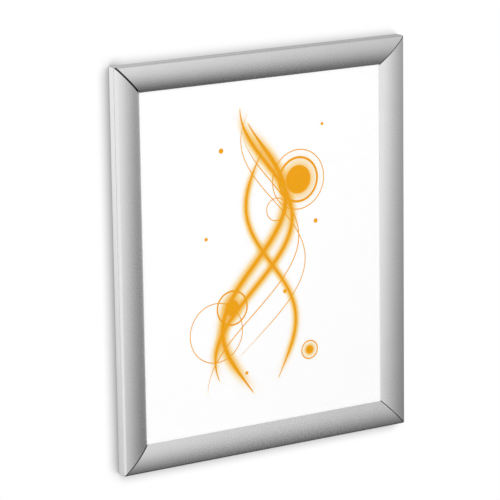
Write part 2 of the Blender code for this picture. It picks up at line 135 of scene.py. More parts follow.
# Small radii, broken edges and steps of the visible pieces
FOOT_RADIUS = 0.12 * MM
LIP_RADIUS = 0.4 * MM
LIP_BACK_RADIUS = 0.25 * MM
LIP_RIB_RADIUS = 0.2 * MM
BASE_RADIUS = 0.22 * MM
SHOULDER_RADIUS = 0.15 * MM
CHANNEL_RADIUS = 0.4 * MM
BREAK_DEPTH = 1.4
CUT_BACK_LEAST = 1.5 * MM
SNAP_CORNER_STEPS = 5
FILLET_STEPS = 20
CLAW_STEPS = (10, 28)
BEAD_STEPS = 28
BEND_STEPS = 18
TIP_RADIUS = 0.2 * MM
STRIP_EDGE = 0.07 * MM
CUP_DEPTH = 0.5 * MM
CUP_RADIUS = 0.9 * MM
THREAD_ENDS = (0.4 * MM, 0.35 * MM)
THREAD_ROWS = 6.0
SCREW_TOP_RADIUS = 1.5 * MM
HEXAGON_HALF = 1.15 * MM
HEXAGON_DEPTHS = (1.8 * MM, 2.1 * MM)
SHARP_ANGLE = 30.0
MERGE = 1e-7
TINY = 1e-9

# Noise patterns: cycles per metre, detail, roughness and, if there is one, the shift
DIE_LINES = (1800.0, 3.0, 0.6)
METAL_GRAIN = (900.0, 4.0, 0.65)
METAL_SPECKLE = (3200.0, 2.0, 0.5, (0.3, 0.7, 0.1))
METAL_CLOUD = (40.0, 2.0, 0.5, (1.3, 0.2, 0.4))
SAW_MARKS = (2600.0, 2.0, 0.5)
FILM_TOOTH = (2400.0, 2.0, 0.5)
COVER_TOOTH = (3000.0, 2.0, 0.5)

# Finishes: stretch of the marks, darkest and lightest tone, strength and depth of the relief
DIE_STRETCH = (0.012, 1.0, 1.0)
SAW_STRETCH = (1.0, 0.08, 1.0)
METAL_TONES = (0.965, 1.03)
SAW_TONES = (0.85, 1.0)
METAL_RELIEF = (0.15, 0.000015)
SAW_RELIEF = (0.3, 0.00003)
FILM_RELIEF = (0.15, 0.00001)
COVER_RELIEF = (0.2, 0.00001)
# Saw-cut colours, darker than the rails: painted shade of the closed mitre gaps
SNAP_CUT_SHADE = (0.34, 0.34, 0.34)
BASE_CUT_SHADE = (0.4, 0.4, 0.4)

# The dark rim at the mitres, painted shade for the gaps: half width, extra at the left, the lower left's
# share of it, fade, colour
MITRE_HALF = 0.4 * MM
MITRE_LEFT = 0.7 * MM
MITRE_LOW_SHARE = 0.4
MITRE_FADE = (-0.02, 0.02)
MITRE_SHADE_COLOUR = (0.03, 0.03, 0.03)

# Plain finishes: colour, roughness, metallic, cycles per metre, contrast and depth of the relief
FINISHES = {
    "cast_key": ((0.45, 0.45, 0.46), 0.5, 1.0, 500.0, 0.2, 0.00006),
    "black_screw": ((0.05, 0.05, 0.052), 0.4, 1.0, 900.0, 0.2, 0.00002),
    "spring_strip": ((0.42, 0.42, 0.43), 0.28, 1.0, 1200.0, 0.15, 0.00002),
    "back_panel": ((0.8, 0.8, 0.8), 0.55, 0.0, 350.0, 0.05, 0.00002),
    "reflector": ((0.93, 0.93, 0.93), 0.4, 0.0, 800.0, 0.02, 0.00002),
    "light_guide": ((0.88, 0.93, 0.93), 0.12, 0.0, 400.0, 0.04, 0.00002),
    "opal": ((0.95, 0.95, 0.94), 0.45, 0.0, 900.0, 0.02, 0.00002),
    "circuit_board": ((0.85, 0.85, 0.83), 0.45, 0.0, 700.0, 0.04, 0.00002),
    "black_moulding": ((0.02, 0.02, 0.02), 0.45, 0.0, 900.0, 0.2, 0.00002),
    "plated_pin": ((0.8, 0.78, 0.74), 0.25, 1.0, 1200.0, 0.1, 0.00002),
    "lead_white": ((0.75, 0.75, 0.72), 0.5, 0.0, 900.0, 0.05, 0.00002),
}

# The print in millimetres from the middle
MM_PER_METRE = 1000.0
WAVES = (
    # shift across, amplitude, wave length, phase, tilt, lowest, highest, width, glow reach
    (-14.0, 44.0, 330.0, 0.3, 0.10, -205.0, 190.0, 5.6, 20.0),
    (-10.0, 52.0, 350.0, 0.9, 0.13, -180.0, 212.0, 4.6, 16.0),
    (-4.0, 60.0, 372.0, 1.45, 0.16, -196.0, 170.0, 1.5, 0.0),
    (4.0, 68.0, 395.0, 2.0, 0.18, -150.0, 205.0, 1.3, 0.0),
    (10.0, 30.0, 300.0, 3.5, -0.12, -190.0, 150.0, 3.6, 13.0),
)
RINGS = (
    # centre, radius, width
    ((58.0, 96.0), 42.0, 1.4), ((58.0, 96.0), 31.0, 3.2), ((22.0, 58.0), 16.0, 1.3),
    ((-78.0, -104.0), 42.0, 1.3), ((-52.0, -72.0), 24.0, 2.4), ((74.0, -150.0), 13.0, 1.8),
)
DISCS = (
    # centre, radius, glow reach
    ((58.0, 96.0), 20.0, 52.0), ((-52.0, -72.0), 11.0, 32.0), ((74.0, -150.0), 6.0, 19.0),
    ((86.0, 34.0), 3.2, 0.0), ((-92.0, 30.0), 2.6, 0.0), ((-66.0, 150.0), 3.6, 0.0),
    ((34.0, -60.0), 3.0, 0.0), ((-30.0, -168.0), 2.4, 0.0), ((98.0, 170.0), 2.2, 0.0),
)
WAVE_TAPER = 60.0
WAVE_TIP_SHARE = 0.25
WAVE_START = 0.08
WAVE_GLOW = 0.75
DISC_GLOW = 0.8
INK_FADE = (-0.2, 0.3)
RING_FADE = (-0.15, 0.25)
TINT_POWERS = (0.45, 2.2)
UNLIT_SHARE = 0.45

# Camera, lamp and wall. The wall's painted shadow starts earlier and is stronger at the left and below.
SENSOR_WIDTH = 36.0
CAMERA_CLIP = (0.1, 50.0)
LAMP_AT = (-2.2, -2.4, 1.6)
LAMP_SIZE = 1.6
WALL_HALF = 4.0
WALL_AT = 0.0006
SHADOW_REACH = 0.024
SHADOW_SAMPLES = 16
SHADOW_START = 0.18
SHADOW_EARLIER = 0.105
SHADOW_GAIN = 0.5
SHADOW_SIDE = (-0.01, 0.03)

# The shade net: its size, what it lets through in each direction, and its least and greatest cover
NET_RADIUS = 1.75
NET_MERGE = 1e-6
NET_MIDDLE = 0.786
NET_SLOPE = (-0.425, -0.128, 0.36)
NET_BEND = (-0.42, 0.116, -0.14, -0.18)
NET_CORNER = 2.5
NET_SIDE = 1.1
NET_SIDE_LOW = 0.35
NET_COVER = (0.05, 0.93)


def colour_setting(name, description, default):
    """A colour that the panel shows."""
    return FloatVectorProperty(
        name=name, description=description, subtype="COLOR", size=3, min=0.0, max=1.0, default=default)


class LightBoxRailSettings(bpy.types.PropertyGroup):
    """Finish and fineness of the aluminium rails."""

    colour: colour_setting("Anodised colour", "Base colour of the satin silver rails", (0.84, 0.84, 0.845))
    mill_colour: colour_setting(
        "Base rail colour", "Base colour of the fixed extrusions", (0.84, 0.84, 0.845))
    roughness: FloatProperty(
        name="Roughness", description="Roughness of the satin anodised face",
        subtype="FACTOR", min=0.0, max=1.0, default=0.27)
    edge_break: FloatProperty(
        name="Edge break", description="Width of the broken edge along the saw cuts",
        subtype="DISTANCE", min=0.0, max=0.001, default=0.00012)
    face_steps: IntProperty(
        name="Face steps", description="Facets across the convex face", min=8, max=200, default=72)


class LightBoxPrintSettings(bpy.types.PropertyGroup):
    """Colours of the backlit print."""

    ink: colour_setting("Ink", "Colour of the strokes, rings and dots", (0.86, 0.355, 0.0))
    paper: colour_setting("Film", "Colour of the bare film", (1.0, 1.0, 1.0))
    glow: FloatProperty(
        name="Lit strength", description="Strength of the light through the film",
        min=0.0, max=4.0, default=0.7)


class LightBoxStageSettings(bpy.types.PropertyGroup):
    """Camera and light."""

    camera_azimuth: FloatProperty(
        name="Camera azimuth", description="How far left of straight ahead the camera stands",
        subtype="ANGLE", default=math.radians(31.6))
    camera_elevation: FloatProperty(
        name="Camera elevation", description="How far above the horizon the camera stands",
        subtype="ANGLE", default=math.radians(13.0))
    camera_roll: FloatProperty(
        name="Camera roll", description="Turn of the camera about its line of sight",
        subtype="ANGLE", default=math.radians(-0.82))
    camera_distance: FloatProperty(
        name="Camera distance", description="Distance from the camera to the box along its line of sight",
        subtype="DISTANCE", unit="LENGTH", default=4.128)
    camera_aim: FloatVectorProperty(
        name="Camera aim",
        description="Where the box's origin stands right of and above the line of sight",
        subtype="TRANSLATION", size=2, default=(0.0133, -0.0013))
    camera_lens: FloatProperty(
        name="Focal length", description="Focal length on a 36 mm sensor, in millimetres",
        min=1.0, default=214.7)
    key_power: FloatProperty(
        name="Key light", description="Power of the large lamp at the upper left",
        subtype="POWER", min=0.0, default=2.4)
    room_light: FloatProperty(
        name="Room light", description="Strength of the even light from all sides",
        min=0.0, max=2.0, default=1.0)


class Socket:
    """A number socket of a shader graph. Python's operators on it add Math nodes."""

    def __init__(self, graph, output):
        self.graph = graph
        self.output = output

    def math(self, operation, *others):
        return self.graph.math(operation, self, *others)

    def __rsub__(self, other):
        return self.graph.math("SUBTRACT", other, self)

    __add__ = __radd__ = partialmethod(math, "ADD")
    __sub__ = partialmethod(math, "SUBTRACT")
    __mul__ = __rmul__ = partialmethod(math, "MULTIPLY")
    __truediv__ = partialmethod(math, "DIVIDE")
    __pow__ = partialmethod(math, "POWER")
    __neg__ = partialmethod(math, "MULTIPLY", -1.0)
    __abs__ = partialmethod(math, "ABSOLUTE")
    at_least = partialmethod(math, "MAXIMUM")
    at_most = partialmethod(math, "MINIMUM")

    def between(self, low, high):
        """0 below low, 1 above high, and a smooth rise between them."""
        inputs = {"Value": self, "From Min": low, "From Max": high}
        return self.graph.add("ShaderNodeMapRange", inputs, interpolation_type="SMOOTHSTEP")


class Graph:
    """The node tree of a material or of the world."""

    def __init__(self, owner):
        owner.use_nodes = True
        self.owner = owner
        self.tree = owner.node_tree
        self.tree.nodes.clear()

    def node(self, kind, inputs=None, **settings):
        """Add a node: its settings first, then the values or links of its sockets."""
        made = self.tree.nodes.new(kind)
        for name, value in settings.items():
            setattr(made, name, value)
        for name, value in (inputs or {}).items():
            socket = made.inputs[name]
            value = getattr(value, "output", value)
            if isinstance(value, bpy.types.NodeSocket):
                self.tree.links.new(value, socket)
            elif hasattr(socket.default_value, "__len__") and len(socket.default_value) == 4:
                socket.default_value = (*value, 1.0)[:4]
            else:
                socket.default_value = value
        return made

    def add(self, kind, inputs=None, output=0, **settings):
        """Add a node and wrap one of its outputs."""
        return Socket(self, self.node(kind, inputs, **settings).outputs[output])

    def math(self, operation, *values):
        """One step of arithmetic."""
        return self.add("ShaderNodeMath", dict(enumerate(values)), operation=operation)

    def vector(self, operation, inputs):
        """One step of vector arithmetic."""
        return self.node("ShaderNodeVectorMath", inputs, operation=operation).outputs[0]

    def mix(self, factor, first, second):
        """A colour between two others."""
        inputs = {0: factor, 6: first, 7: second}
        return self.node("ShaderNodeMix", inputs, data_type="RGBA").outputs[2]

    def tones(self, pattern, colour, darkest, lightest):
        """The colour in tones between two shares of it, by a pattern around 0.5."""
        dark = tuple(darkest * part for part in colour)
        light = tuple(min(1.0, lightest * part) for part in colour)
        return self.mix(pattern.between(0.3, 0.7), dark, light)

    def mapped(self, source="Object", scale=(1.0, 1.0, 1.0), shift=(0.0, 0.0, 0.0)):
        """Object or UV coordinates, scaled and shifted."""
        coordinates = self.node("ShaderNodeTexCoord").outputs[source]
        inputs = {"Vector": coordinates, "Location": shift, "Scale": scale}
        return self.node("ShaderNodeMapping", inputs).outputs[0]

    def axes(self, vector):
        """The x, y and z of a vector."""
        parts = self.node("ShaderNodeSeparateXYZ", {0: vector}).outputs
        return [Socket(self, part) for part in parts]

    def noise(self, pattern, source="Object", stretch=(1.0, 1.0, 1.0)):
        """Fractal noise around 0.5."""
        cycles, detail, roughness, *shift = pattern
        vector = self.mapped(source, stretch, *shift)
        inputs = {"Vector": vector, "Scale": cycles, "Detail": detail, "Roughness": roughness}
        return self.add("ShaderNodeTexNoise", inputs)

    def bump(self, height, strength, distance):
        """A normal from a height, which counts in units of the distance."""
        inputs = {"Height": height, "Strength": strength, "Distance": distance}
        return self.node("ShaderNodeBump", inputs).outputs[0]

    def finish(self, shader):
        """Connect a shader to the output and return the material."""
        self.node("ShaderNodeOutputMaterial", {"Surface": shader.outputs[0]})
        return self.owner

    def principled(self, **inputs):
        """Finish with a Principled shader, whose sockets are named with underscores for spaces."""
        named = {name.replace("_", " "): value for name, value in inputs.items()}
        return self.finish(self.node("ShaderNodeBsdfPrincipled", named))

    def over_clear(self, cover, kind, inputs):
        """Finish with a shader that covers this share of a clear one."""
        clear = self.node("ShaderNodeBsdfTransparent").outputs[0]
        shader = self.node(kind, inputs).outputs[0]
        return self.finish(self.node("ShaderNodeMixShader", {0: cover, 1: clear, 2: shader}))


def painted_mitre_shade(graph):
    """Painted shade along the cuts, a dark rim for the shaded mitre gaps: 1 at the mitres, 0 away from
    them, and widest at the top left.
    """
    x, _, z = graph.axes(graph.mapped())
    away = abs(abs(z) - abs(x) - (HALF_HEIGHT - HALF_WIDTH)) * math.sqrt(0.5)
    left = 1.0 - x.between(*MITRE_FADE)
    upper = MITRE_LOW_SHARE + (1.0 - MITRE_LOW_SHARE) * z.between(*MITRE_FADE)
    return 1.0 - (away - (MITRE_HALF + MITRE_LEFT * left * upper)).between(0.0, MITRE_HALF)


def satin_aluminium(name, colour, roughness, cut=False):
    """Satin anodised aluminium: a fine matt grain, faint die lines and, if cut, a dark rim of painted
    shade at the mitres.
    """
    graph = Graph(bpy.data.materials.new(name))
    lines = graph.noise(DIE_LINES, "UV", DIE_STRETCH)
    grain = graph.noise(METAL_GRAIN, "UV")
    speckle = graph.noise(METAL_SPECKLE, "UV")
    cloud = graph.noise(METAL_CLOUD, "UV")
    shade = graph.tones(0.7 * grain + 0.05 * lines + 0.25 * cloud, colour, *METAL_TONES)
    # A cut rail gets painted shade: a dark rim along its mitres.
    if cut:
        shade = graph.mix(painted_mitre_shade(graph), shade, MITRE_SHADE_COLOUR)
    return graph.principled(
        Base_Color=shade, Metallic=1.0, Roughness=roughness - 0.05 + 0.08 * grain + 0.01 * lines,
        Normal=graph.bump(0.5 * speckle + 0.5 * grain + 0.04 * lines, *METAL_RELIEF))


def sawn_aluminium(name, colour):
    """A fresh saw cut: metal with close tooth marks that run out of the wall, in the colour it is given,
    which the rails darken as painted shade of the mitre gaps.
    """
    graph = Graph(bpy.data.materials.new(name))
    marks = graph.noise(SAW_MARKS, "Object", SAW_STRETCH)
    return graph.principled(
        Base_Color=graph.tones(marks, colour, *SAW_TONES), Metallic=1.0, Roughness=0.24 + 0.16 * marks,
        Normal=graph.bump(marks, *SAW_RELIEF))


def plain_finish(name):
    """A moulded, cast, coated or rolled surface: mottled colour and roughness with a low relief."""
    colour, roughness, metallic, cycles, contrast, relief = FINISHES[name]
    graph = Graph(bpy.data.materials.new(name))
    mottle = graph.noise((cycles, 4.0, 0.6))
    cloud = graph.noise((0.06 * cycles, 2.0, 0.5, (0.5, 0.1, 0.9)))
    shade = graph.tones(0.6 * mottle + 0.4 * cloud, colour, 1.0 - contrast, 1.0 + 0.4 * contrast)
    return graph.principled(
        Base_Color=shade, Metallic=metallic, Roughness=roughness - 0.05 + 0.1 * mottle,
        Normal=graph.bump(mottle, 0.3, relief))


def far_from(x, z, centre):
    """Distance from a centre."""
    dx = x - centre[0]
    dz = z - centre[1]
    return (dx * dx + dz * dz) ** 0.5


def within(distance, limit, fade):
    """1 where a distance is under the limit, and 0 past it, with a fade around it."""
    return 1.0 - distance.between(limit + fade[0], limit + fade[1])


def joined(first, second):
    """Cover of two layers that each let through what they don't cover."""
    return second if first is None else 1.0 - (1.0 - first) * (1.0 - second)


def backlit_film(name, paper, ink, glow):
    """The print: generic waves, rings and dots, worked out in millimetres from the middle.

    A wave is a sine of the height, and its line is the places whose distance across,
    divided by the length of the slope, is under half the line's width. Only the film
    inside the lips of the base rails is lit from behind.
    """
    graph = Graph(bpy.data.materials.new(name))
    x, _, z = graph.axes(graph.mapped(scale=(MM_PER_METRE, MM_PER_METRE, MM_PER_METRE)))
    ink_cover = None
    glow_cover = None
    for shift, amplitude, length, phase, tilt, low, high, width, reach in WAVES:
        turn = math.tau / length
        angle = z * turn + phase
        line = angle.math("SINE") * amplitude + z * tilt + shift
        slope = angle.math("COSINE") * (amplitude * turn) + tilt
        across = abs(x - line) / (slope * slope + 1.0) ** 0.5
        ends = z.between(low, low + WAVE_TAPER) * (1.0 - z.between(high - WAVE_TAPER, high))
        half = 0.5 * width * (WAVE_TIP_SHARE + (1.0 - WAVE_TIP_SHARE) * ends)
        shown = ends.between(0.0, WAVE_START)
        ink_cover = joined(ink_cover, within(across - half, 0.0, INK_FADE) * shown)
        if reach:
            glow_cover = joined(glow_cover, (1.0 - across.between(0.0, reach)) ** 2.0 * ends * WAVE_GLOW)
    for centre, radius, width in RINGS:
        off = abs(far_from(x, z, centre) - radius)
        ink_cover = joined(ink_cover, within(off, 0.5 * width, RING_FADE))
    for centre, radius, reach in DISCS:
        far = far_from(x, z, centre)
        ink_cover = joined(ink_cover, within(far, radius, INK_FADE))
        if reach:
            glow_cover = joined(glow_cover, (1.0 - far.between(0.3 * radius, reach)) ** 2.0 * DISC_GLOW)
    cover = joined(ink_cover, glow_cover)
    down, up = TINT_POWERS
    tint = tuple((0.5 * (bare ** down + full ** down)) ** up for bare, full in zip(paper, ink))
    colour = graph.mix((2.0 * cover).at_most(1.0), paper, tint)
    colour = graph.mix((2.0 * cover - 1.0).at_least(0.0), colour, ink)
    unlit = graph.vector("SCALE", {0: colour, "Scale": UNLIT_SHARE})
    edge_x, edge_z = ((half - LIP_END) / MM for half in (HALF_WIDTH, HALF_HEIGHT))
    open_part = within(abs(x), edge_x, (-1.0, 1.0)) * within(abs(z), edge_z, (-1.0, 1.0))
    lit = graph.vector("SCALE", {0: colour, "Scale": open_part})
    tooth = graph.noise(FILM_TOOTH)
    return graph.principled(
        Base_Color=unlit, Roughness=0.5 + 0.1 * tooth, Specular_IOR_Level=0.1, Emission_Color=lit,
        Emission_Strength=glow, Normal=graph.bump(tooth, *FILM_RELIEF))


def clear_cover(name):
    """A clear sheet with an anti-glare face: nearly all of it is see-through."""
    graph = Graph(bpy.data.materials.new(name))
    tooth = graph.noise(COVER_TOOTH)
    return graph.principled(
        Base_Color=(0.42, 0.44, 0.44), Roughness=0.3 + 0.1 * tooth, Alpha=0.015,
        Normal=graph.bump(tooth, *COVER_RELIEF))


def to_frame(side, s, u, d):
    """Positions of rail coordinates: (s, -d, u - half the size across), in quarter turns to the side."""
    across = HALF_HEIGHT if side in ("bottom", "top") else HALF_WIDTH
    x, y, z = np.broadcast_arrays(s, -d, u - across)
    for _ in range(SIDES.index(side)):
        x, z = -z, x
    return np.stack([x, y, z], axis=-1)


def half_along(side):
    """Half the outer length of a side's rail."""
    return HALF_WIDTH if side in ("bottom", "top") else HALF_HEIGHT


def arc(centre, radius, start, end, steps):
    """Points at equal angles from start to end, in degrees: centre + radius (cos, sin)."""
    angles = np.radians(np.linspace(start, end, steps + 1))
    return np.stack([centre[0] + radius * np.cos(angles), centre[1] + radius * np.sin(angles)], axis=1)


def unit(vectors):
    """The same directions with length 1."""
    return vectors / np.maximum(np.linalg.norm(vectors, axis=1, keepdims=True), TINY)


def left_of(vectors):
    """Vectors in the plane turned left by a quarter."""
    return np.stack([-vectors[:, 1], vectors[:, 0]], axis=1)


def full_turn(count):
    """Angles at equal steps around a circle."""
    return np.linspace(0.0, math.tau, count, endpoint=False)


def round_corners(points, radii, steps=4):
    """Replace every corner of a closed outline that has a radius by an arc that touches both edges."""
    before = unit(points - np.roll(points, 1, axis=0))
    after = np.roll(before, -1, axis=0)
    cross = before[:, 0] * after[:, 1] - before[:, 1] * after[:, 0]
    turn = np.arctan2(cross, np.sum(before * after, axis=1))
    trim = (radii * np.tan(0.5 * np.abs(turn)))[:, None]
    inward = np.sign(turn)[:, None] * left_of(before)
    centre = points - before * trim + inward * radii[:, None]
    angle = turn[:, None] * np.linspace(0.0, 1.0, steps + 1)
    spoke = -inward * radii[:, None]
    across = spoke[:, None] * np.cos(angle)[..., None]
    arcs = centre[:, None] + across + left_of(spoke)[:, None] * np.sin(angle)[..., None]
    return arcs[(radii[:, None] > 0.0) | (np.arange(steps + 1) == 0)]


def outline_normals(points):
    """Outward unit normals of a closed outline, by central differences."""
    run = unit(np.roll(points, -1, axis=0) - np.roll(points, 1, axis=0))
    area = np.sum(points[:, 0] * np.roll(points[:, 1], -1) - np.roll(points[:, 0], -1) * points[:, 1])
    return -np.sign(area) * left_of(run)


def face_circle():
    """Centre and radius of the snap rail's convex face: the arc through its two edges with its rise."""
    corner = np.array([0.0, HINGE[1] + CORNER_RISE])
    edge = np.array([RAIL_WIDTH, EDGE_AT + EDGE_THICK])
    chord = edge - corner
    length = np.linalg.norm(chord)
    radius = (0.25 * length ** 2 + FACE_SAGITTA ** 2) / (2.0 * FACE_SAGITTA)
    rise = np.array([-chord[1], chord[0]]) / length
    return 0.5 * (corner + edge) + rise * (FACE_SAGITTA - radius), radius


def on_circle(centre, radius, u):
    """The point of the upper side of a circle at u."""
    return np.array([u, centre[1] + math.sqrt(radius ** 2 - (u - centre[0]) ** 2)])


def angle_of(centre, point):
    """The direction of a point from a centre, in degrees."""
    return math.degrees(math.atan2(point[1] - centre[1], point[0] - centre[0]))


def snap_section(face_steps, claw_tip):
    """Closed outline of a snap rail from its outer wall over the face to the claw, and where its face is.

    claw_tip is the angle at which the claw ends. The second result is 1 along the face, and 0 behind it.
    """
    centre, radius = face_circle()
    skin = radius - SNAP_SKIN
    fillet = on_circle(centre, radius - CORNER_FILLET, CORNER_FILLET)
    face_start = angle_of(centre, fillet)
    face_end = angle_of(centre, (RAIL_WIDTH, EDGE_AT + EDGE_THICK))
    rib_u = RAIL_WIDTH - EDGE_RIB
    skin_start = angle_of(centre, on_circle(centre, skin, rib_u))
    skin_end = angle_of(centre, on_circle(centre, skin, HINGE[0] + GUSSET_REACH))
    wall_end = HINGE[1] + HINGE[0] * math.tan(math.radians(180.0 - CLAW_SWING))
    parts = [
        (np.array([[0.0, wall_end]]), FOOT_RADIUS, 1.0),
        (arc(fillet, CORNER_FILLET, 180.0, face_start, FILLET_STEPS), 0.0, 1.0),
        (arc(centre, radius, face_start, face_end, face_steps)[1:-1], 0.0, 1.0),
        (arc(centre, radius, face_end, face_end, 0), LIP_RADIUS, 1.0),
        (np.array([[RAIL_WIDTH, EDGE_AT]]), LIP_BACK_RADIUS, 0.0),
        (np.array([[rib_u, EDGE_AT]]), LIP_RIB_RADIUS, 0.0),
        (arc(centre, skin, skin_start, skin_end, face_steps // 2), 0.0, 0.0),
        (arc(HINGE, CLAW_OUTER, CLAW_ROOT, claw_tip, CLAW_STEPS[0]), 0.0, 0.0),
        (arc(HINGE, CLAW_INNER, claw_tip, CLAW_SWING, CLAW_STEPS[1]), 0.0, 0.0),
    ]
    points = np.concatenate([part[0] for part in parts])
    counts = [len(part[0]) for part in parts]
    radii = np.repeat([part[1] for part in parts], counts)
    shown = np.repeat([part[2] for part in parts], counts)
    repeat = np.where(radii > 0.0, SNAP_CORNER_STEPS + 1, 1)
    return round_corners(points, radii, SNAP_CORNER_STEPS), np.repeat(shown, repeat)


def grid_corners(bands, count):
    """Rows and columns of the four corners of all quads between the rows of a grid."""
    band, at = np.mgrid[0:bands, 0:count]
    rows = np.stack([band, band, band + 1, band + 1], axis=-1).reshape(-1, 4)
    columns = np.stack([at, at + 1, at + 1, at], axis=-1).reshape(-1, 4)
    return rows, columns


def grid_mesh(name, loops, uvs, materials, bands, cap_material=None, sharp=SHARP_ANGLE):
    """A closed mesh from outlines in rows: quads between neighbours, and flat faces on both ends.

    Each loop is stations by outline points by 3, its uv is the same by 2 with one more point,
    and bands gives the material index between two stations. More than one loop makes a tube.
    """
    points, faces, flats, index = [], [], [], []
    first = 0
    for rings, uv in zip(loops, uvs):
        stations, count = rings.shape[:2]
        rows, columns = grid_corners(stations - 1, count)
        faces.append(first + rows * count + columns % count)
        flats.append(uv[rows.ravel(), columns.ravel()])
        index.append(np.repeat(np.asarray(bands), count))
        points.append(rings.reshape(-1, 3))
        first += stations * count
    mesh = mesh_from_quads(name, np.concatenate(points), np.concatenate(faces))
    mesh.polygons.foreach_set("material_index", np.concatenate(index).astype(np.int32))
    layer = mesh.uv_layers.new(name="UVMap")
    layer.data.foreach_set("uv", np.concatenate(flats).astype(np.float32).ravel())
    for material in materials:
        mesh.materials.append(material)
    ends = [np.concatenate([rings[end] for rings in loops]).mean(axis=0) for end in (0, -1)]
    close_mesh(mesh, MERGE, ends, cap_material, len(loops) > 1)
    mesh.shade_smooth()
    mesh.set_sharp_from_angle(angle=math.radians(sharp))
    return placed(name, mesh)


def placed(name, data):
    """A new object in the scene."""
    thing = bpy.data.objects.new(name, data)
    bpy.context.scene.collection.objects.link(thing)
    return thing


def mesh_from_quads(name, points, faces):
    """A mesh from arrays of points and of four-cornered faces."""
    mesh = bpy.data.meshes.new(name)
    mesh.vertices.add(len(points))
    mesh.vertices.foreach_set("co", points.astype(np.float32).ravel())
    mesh.loops.add(faces.size)
    mesh.loops.foreach_set("vertex_index", faces.astype(np.int32).ravel())
    mesh.polygons.add(len(faces))
    mesh.polygons.foreach_set("loop_start", (4 * np.arange(len(faces))).astype(np.int32))
    mesh.update(calc_edges=True)
    return mesh


def close_mesh(mesh, merge, ends=(), cap_material=None, tube=False):
    """Merge points that coincide, close both ends and turn all faces outward."""
    bm = bmesh.new()
    bm.from_mesh(mesh)
    bmesh.ops.remove_doubles(bm, verts=bm.verts, dist=merge)
    bmesh.ops.dissolve_degenerate(bm, edges=bm.edges, dist=merge)
    if cap_material is not None:
        sides = ([], [])
        for edge in bm.edges:
            if edge.is_boundary:
                middle = 0.5 * (edge.verts[0].co + edge.verts[1].co)
                near = [(middle - Vector(end)).length for end in ends]
                sides[near.index(min(near))].append(edge)
        before = set(bm.faces)
        for edges in sides:
            if tube:
                bmesh.ops.triangle_fill(bm, edges=edges, use_beauty=True)
            else:
                bmesh.ops.holes_fill(bm, edges=edges, sides=0)
        for face in bm.faces:
            if face not in before:
                face.material_index = cap_material
    bmesh.ops.recalc_face_normals(bm, faces=bm.faces)
    bm.to_mesh(mesh)
    bm.free()
    mesh.validate()


def outline_lengths(points):
    """Length along a closed outline at each point, and at the first point again."""
    steps = np.linalg.norm(np.roll(points, -1, axis=0) - points, axis=1)
    return np.concatenate([[0.0], np.cumsum(steps)])


def snap_rail(side, settings, materials):
    """A snap rail: its section carried between two mitres, with broken edges and the claw cut back.

    Each point of the section ends u nearer the middle than the outer face. At an end the
    section first grows from its broken edge, then from the cut-back claw to the full one.
    """
    full, shown = snap_section(settings.face_steps, CLAW_TIP)
    cut, _ = snap_section(settings.face_steps, 0.0)
    normal = outline_normals(full)
    broken = settings.edge_break * shown[:, None]
    inset = cut - broken * normal
    half = half_along(side) - SNAP_MITRE_GAP
    at_mitre = half - inset[:, 0]
    behind = half - cut[:, 0] - BREAK_DEPTH * settings.edge_break * shown
    step = np.minimum(half_along(side) - CLAW_END_CLEAR, half - cut[:, 0] - CUT_BACK_LEAST)
    stations = [(inset, at_mitre), (cut, behind), (cut, step), (full, step)]
    rings, uv = carried(side, stations, outline_lengths(full))
    name = "snap_cover_rail_" + side
    rail = grid_mesh(name, [rings], [uv], materials, [1, 0, 0, 0, 0, 0, 1], cap_material=1, sharp=28.0)
    return stand_in(rail, "snap_rail_" + side, "snap_" + side)


def carried(side, stations, lengths, middle=0.0):
    """Rings and UV of outlines carried along a rail: stations from an end, mirrored at the middle."""
    rows = [(outline, -s) for outline, s in stations] + [(outline, s) for outline, s in stations[::-1]]
    rings = np.stack([to_frame(side, middle + s, outline[:, 0], outline[:, 1]) for outline, s in rows])
    along = np.stack([np.broadcast_to(s, len(outline)) for outline, s in rows])
    along = np.concatenate([along, along[:, :1]], axis=1)
    return rings, np.stack([along, np.broadcast_to(lengths, along.shape)], axis=-1)


def stand_in(thing, node, body):
    """Let a piece ride a body in place of a CAD node, and hide that node."""
    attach(thing, body)
    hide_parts(node)
    return thing


def base_section():
    """Outline and key channel of a base rail with rounded corners, as (u, d) points."""
    neck = 0.5 * NECK_THICK
    turn = math.degrees(math.asin(neck / BEAD_RADIUS))
    corners = [(0.0, 0.0), (REAR_FLANGE, 0.0), (REAR_FLANGE, RAIL_WALL), (WEB_END, RAIL_WALL)]
    corners += [(WEB_END, LIP_AT), (LIP_END, LIP_AT), (LIP_END, LIP_TOP)]
    for inner in RIB_ENDS:
        outer = inner - RIB_WIDTH
        top = LIP_TOP + RIB_HEIGHT
        corners += [(inner, LIP_TOP), (inner, top), (outer, top), (outer, LIP_TOP)]
    corners.append((HINGE[0] + neck, LIP_TOP))
    bead = arc(HINGE, BEAD_RADIUS, -90.0 + turn, 270.0 - turn, BEAD_STEPS)
    rest = [(HINGE[0] - neck, SHOULDER), (0.0, SHOULDER)]
    points = np.concatenate([np.array(corners), bead, np.array(rest)])
    radii = [BASE_RADIUS] * len(corners) + [0.0] * len(bead) + [SHOULDER_RADIUS] * len(rest)
    channel = np.array([
        (RAIL_WALL, RAIL_WALL), (CHANNEL_END, RAIL_WALL), (CHANNEL_END, LIP_AT), (RAIL_WALL, LIP_AT)])
    return [round_corners(points, np.array(radii)), round_corners(channel, np.full(4, CHANNEL_RADIUS))]


